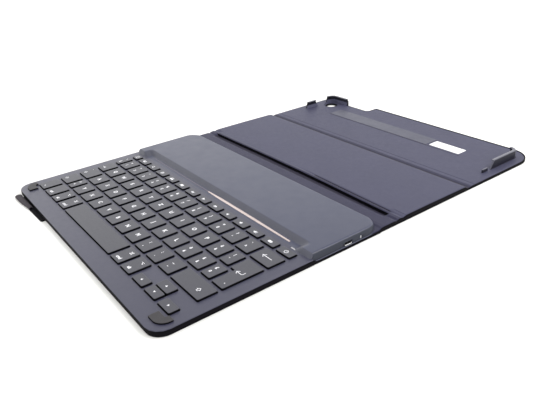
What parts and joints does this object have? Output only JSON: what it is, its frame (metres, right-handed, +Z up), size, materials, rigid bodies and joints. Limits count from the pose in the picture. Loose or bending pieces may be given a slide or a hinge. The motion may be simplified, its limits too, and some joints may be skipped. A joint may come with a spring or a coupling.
{
  "type": "tablet keyboard case",
  "caption": "Folding tablet case opened flat: slim keyboard base with raised battery platform and dock groove, narrow spine, and a two-panel lid with corner clips.",
  "frame": {"origin": "centre of the footprint of the opened case, closure flap included, on the table", "axes": "+X to the typist's right, +Y away from the typist towards the camera edge of the lid, +Z up"},
  "size_m": [0.264, 0.3874, 0.0097],
  "materials": {
    "outer_skin": "fine coated fabric",
    "inner_lining": "fine coated fabric, satin",
    "deck_plastic": "fine satin grain",
    "platform_plastic": "fine satin grain",
    "key_plastic": "satin keycap",
    "dark_plastic": "moulded",
    "clip_plastic": "satin",
    "pale_copper": "pale copper anodised",
    "steel": "plain",
    "silicone": "translucent",
    "board": "coated laminate",
    "cell_foil": "foil pouch",
    "bumper_rubber": "satin",
    "label_paper": "blank white label",
    "light_pipe": "diffusing",
    "flap_fabric": "soft, folded"
  },
  "bodies": {
    "base": {"base_skin": "outer_skin", "base_tray": "dark_plastic", "keyboard_deck": "deck_plastic", "platform_cover": "platform_plastic", "key_backplate": "steel", "switch_membrane": "silicone", "rubber_domes": "silicone", "scissor_links": "light_pipe", "circuit_board": "board", "battery_cells": "cell_foil", "charge_socket": "steel", "light_pipes": "light_pipe", "dock_strip": "pale_copper", "dock_magnets": "steel", "corner_bumpers": "bumper_rubber"},
    "spine": {"spine_skin": "outer_skin", "spine_stiffener": "dark_plastic", "spine_lining": "inner_lining"},
    "lower_panel": {"lower_panel_skin": "outer_skin", "lower_panel_board": "dark_plastic", "lower_panel_lining": "inner_lining"},
    "upper_panel": {"upper_panel_skin": "outer_skin", "upper_tray": "dark_plastic", "clip_walls": "clip_plastic", "clip_lips": "clip_plastic", "upper_panel_lining": "inner_lining", "camera_ring": "dark_plastic", "tray_band": "inner_lining", "info_label": "label_paper"},
    "flap": {"closure_flap": "flap_fabric", "flap_magnet": "steel"},
    "key_fn": {"key_fn": "key_plastic"},
    "key_ctrl": {"key_ctrl": "key_plastic"},
    "key_alt_left": {"key_alt_left": "key_plastic"},
    "key_cmd_left": {"key_cmd_left": "key_plastic"},
    "key_space": {"key_space": "key_plastic"},
    "key_cmd_right": {"key_cmd_right": "key_plastic"},
    "key_alt_right": {"key_alt_right": "key_plastic"},
    "key_arrow_left": {"key_arrow_left": "key_plastic"},
    "key_arrow_down": {"key_arrow_down": "key_plastic"},
    "key_arrow_up": {"key_arrow_up": "key_plastic"},
    "key_arrow_right": {"key_arrow_right": "key_plastic"},
    "key_shift_left": {"key_shift_left": "key_plastic"},
    "key_shift_right": {"key_shift_right": "key_plastic"},
    "key_caps_lock": {"key_caps_lock": "key_plastic"},
    "key_tab": {"key_tab": "key_plastic"},
    "key_enter": {"key_enter": "key_plastic"},
    "key_backspace": {"key_backspace": "key_plastic"},
    "keys_lower_left": {"keys_lower_left": "key_plastic"},
    "keys_lower_right": {"keys_lower_right": "key_plastic"},
    "keys_home_left": {"keys_home_left": "key_plastic"},
    "keys_home_right": {"keys_home_right": "key_plastic"},
    "keys_upper_left": {"keys_upper_left": "key_plastic"},
    "keys_upper_right": {"keys_upper_right": "key_plastic"},
    "keys_number_left": {"keys_number_left": "key_plastic"},
    "keys_number_middle": {"keys_number_middle": "key_plastic"},
    "keys_number_right": {"keys_number_right": "key_plastic"},
    "keys_function_left": {"keys_function_left": "key_plastic"},
    "keys_function_middle": {"keys_function_middle": "key_plastic"},
    "keys_function_right": {"keys_function_right": "key_plastic"}
  },
  "joints": [
    {"name": "fold_1_spine", "type": "hinge", "parent": "base", "child": "spine", "pos_m": [0, -0.00235, 0.0016], "axis": [1, 0, 0], "range_deg": [0, 90]},
    {"name": "fold_2_lower_panel", "type": "hinge", "parent": "spine", "child": "lower_panel", "pos_m": [0, 0.01445, 0.0016], "axis": [1, 0, 0], "range_deg": [0, 90]},
    {"name": "fold_3_upper_panel", "type": "hinge", "parent": "lower_panel", "child": "upper_panel", "pos_m": [0, 0.09725, 0.0002], "axis": [-1, 0, 0], "range_deg": [0, 62]},
    {"name": "fold_4_flap", "type": "hinge", "parent": "base", "child": "flap", "pos_m": [-0.09, -0.18755, 0.0012], "axis": [-1, 0, 0], "range_deg": [0, 90]},
    {"name": "press_key_fn", "type": "slide", "parent": "base", "child": "key_fn", "axis": [0, 0, -1], "range_m": [0, 0.0012], "stiffness_N_per_m": 250, "springref_m": -0.0008},
    {"name": "press_key_ctrl", "type": "slide", "parent": "base", "child": "key_ctrl", "axis": [0, 0, -1], "range_m": [0, 0.0012], "stiffness_N_per_m": 250, "springref_m": -0.0008},
    {"name": "press_key_alt_left", "type": "slide", "parent": "base", "child": "key_alt_left", "axis": [0, 0, -1], "range_m": [0, 0.0012], "stiffness_N_per_m": 250, "springref_m": -0.0008},
    {"name": "press_key_cmd_left", "type": "slide", "parent": "base", "child": "key_cmd_left", "axis": [0, 0, -1], "range_m": [0, 0.0012], "stiffness_N_per_m": 250, "springref_m": -0.0008},
    {"name": "press_key_space", "type": "slide", "parent": "base", "child": "key_space", "axis": [0, 0, -1], "range_m": [0, 0.0012], "stiffness_N_per_m": 250, "springref_m": -0.0008},
    {"name": "press_key_cmd_right", "type": "slide", "parent": "base", "child": "key_cmd_right", "axis": [0, 0, -1], "range_m": [0, 0.0012], "stiffness_N_per_m": 250, "springref_m": -0.0008},
    {"name": "press_key_alt_right", "type": "slide", "parent": "base", "child": "key_alt_right", "axis": [0, 0, -1], "range_m": [0, 0.0012], "stiffness_N_per_m": 250, "springref_m": -0.0008},
    {"name": "press_key_arrow_left", "type": "slide", "parent": "base", "child": "key_arrow_left", "axis": [0, 0, -1], "range_m": [0, 0.0012], "stiffness_N_per_m": 250, "springref_m": -0.0008},
    {"name": "press_key_arrow_down", "type": "slide", "parent": "base", "child": "key_arrow_down", "axis": [0, 0, -1], "range_m": [0, 0.0012], "stiffness_N_per_m": 250, "springref_m": -0.0008},
    {"name": "press_key_arrow_up", "type": "slide", "parent": "base", "child": "key_arrow_up", "axis": [0, 0, -1], "range_m": [0, 0.0012], "stiffness_N_per_m": 250, "springref_m": -0.0008},
    {"name": "press_key_arrow_right", "type": "slide", "parent": "base", "child": "key_arrow_right", "axis": [0, 0, -1], "range_m": [0, 0.0012], "stiffness_N_per_m": 250, "springref_m": -0.0008},
    {"name": "press_key_shift_left", "type": "slide", "parent": "base", "child": "key_shift_left", "axis": [0, 0, -1], "range_m": [0, 0.0012], "stiffness_N_per_m": 250, "springref_m": -0.0008},
    {"name": "press_key_shift_right", "type": "slide", "parent": "base", "child": "key_shift_right", "axis": [0, 0, -1], "range_m": [0, 0.0012], "stiffness_N_per_m": 250, "springref_m": -0.0008},
    {"name": "press_key_caps_lock", "type": "slide", "parent": "base", "child": "key_caps_lock", "axis": [0, 0, -1], "range_m": [0, 0.0012], "stiffness_N_per_m": 250, "springref_m": -0.0008},
    {"name": "press_key_tab", "type": "slide", "parent": "base", "child": "key_tab", "axis": [0, 0, -1], "range_m": [0, 0.0012], "stiffness_N_per_m": 250, "springref_m": -0.0008},
    {"name": "press_key_enter", "type": "slide", "parent": "base", "child": "key_enter", "axis": [0, 0, -1], "range_m": [0, 0.0012], "stiffness_N_per_m": 250, "springref_m": -0.0008},
    {"name": "press_key_backspace", "type": "slide", "parent": "base", "child": "key_backspace", "axis": [0, 0, -1], "range_m": [0, 0.0012], "stiffness_N_per_m": 250, "springref_m": -0.0008},
    {"name": "press_keys_lower_left", "type": "slide", "parent": "base", "child": "keys_lower_left", "axis": [0, 0, -1], "range_m": [0, 0.0012], "stiffness_N_per_m": 250, "springref_m": -0.0008},
    {"name": "press_keys_lower_right", "type": "slide", "parent": "base", "child": "keys_lower_right", "axis": [0, 0, -1], "range_m": [0, 0.0012], "stiffness_N_per_m": 250, "springref_m": -0.0008},
    {"name": "press_keys_home_left", "type": "slide", "parent": "base", "child": "keys_home_left", "axis": [0, 0, -1], "range_m": [0, 0.0012], "stiffness_N_per_m": 250, "springref_m": -0.0008},
    {"name": "press_keys_home_right", "type": "slide", "parent": "base", "child": "keys_home_right", "axis": [0, 0, -1], "range_m": [0, 0.0012], "stiffness_N_per_m": 250, "springref_m": -0.0008},
    {"name": "press_keys_upper_left", "type": "slide", "parent": "base", "child": "keys_upper_left", "axis": [0, 0, -1], "range_m": [0, 0.0012], "stiffness_N_per_m": 250, "springref_m": -0.0008},
    {"name": "press_keys_upper_right", "type": "slide", "parent": "base", "child": "keys_upper_right", "axis": [0, 0, -1], "range_m": [0, 0.0012], "stiffness_N_per_m": 250, "springref_m": -0.0008},
    {"name": "press_keys_number_left", "type": "slide", "parent": "base", "child": "keys_number_left", "axis": [0, 0, -1], "range_m": [0, 0.0012], "stiffness_N_per_m": 250, "springref_m": -0.0008},
    {"name": "press_keys_number_middle", "type": "slide", "parent": "base", "child": "keys_number_middle", "axis": [0, 0, -1], "range_m": [0, 0.0012], "stiffness_N_per_m": 250, "springref_m": -0.0008},
    {"name": "press_keys_number_right", "type": "slide", "parent": "base", "child": "keys_number_right", "axis": [0, 0, -1], "range_m": [0, 0.0012], "stiffness_N_per_m": 250, "springref_m": -0.0008},
    {"name": "press_keys_function_left", "type": "slide", "parent": "base", "child": "keys_function_left", "axis": [0, 0, -1], "range_m": [0, 0.0012], "stiffness_N_per_m": 250, "springref_m": -0.0008},
    {"name": "press_keys_function_middle", "type": "slide", "parent": "base", "child": "keys_function_middle", "axis": [0, 0, -1], "range_m": [0, 0.0012], "stiffness_N_per_m": 250, "springref_m": -0.0008},
    {"name": "press_keys_function_right", "type": "slide", "parent": "base", "child": "keys_function_right", "axis": [0, 0, -1], "range_m": [0, 0.0012], "stiffness_N_per_m": 250, "springref_m": -0.0008}
  ]
}
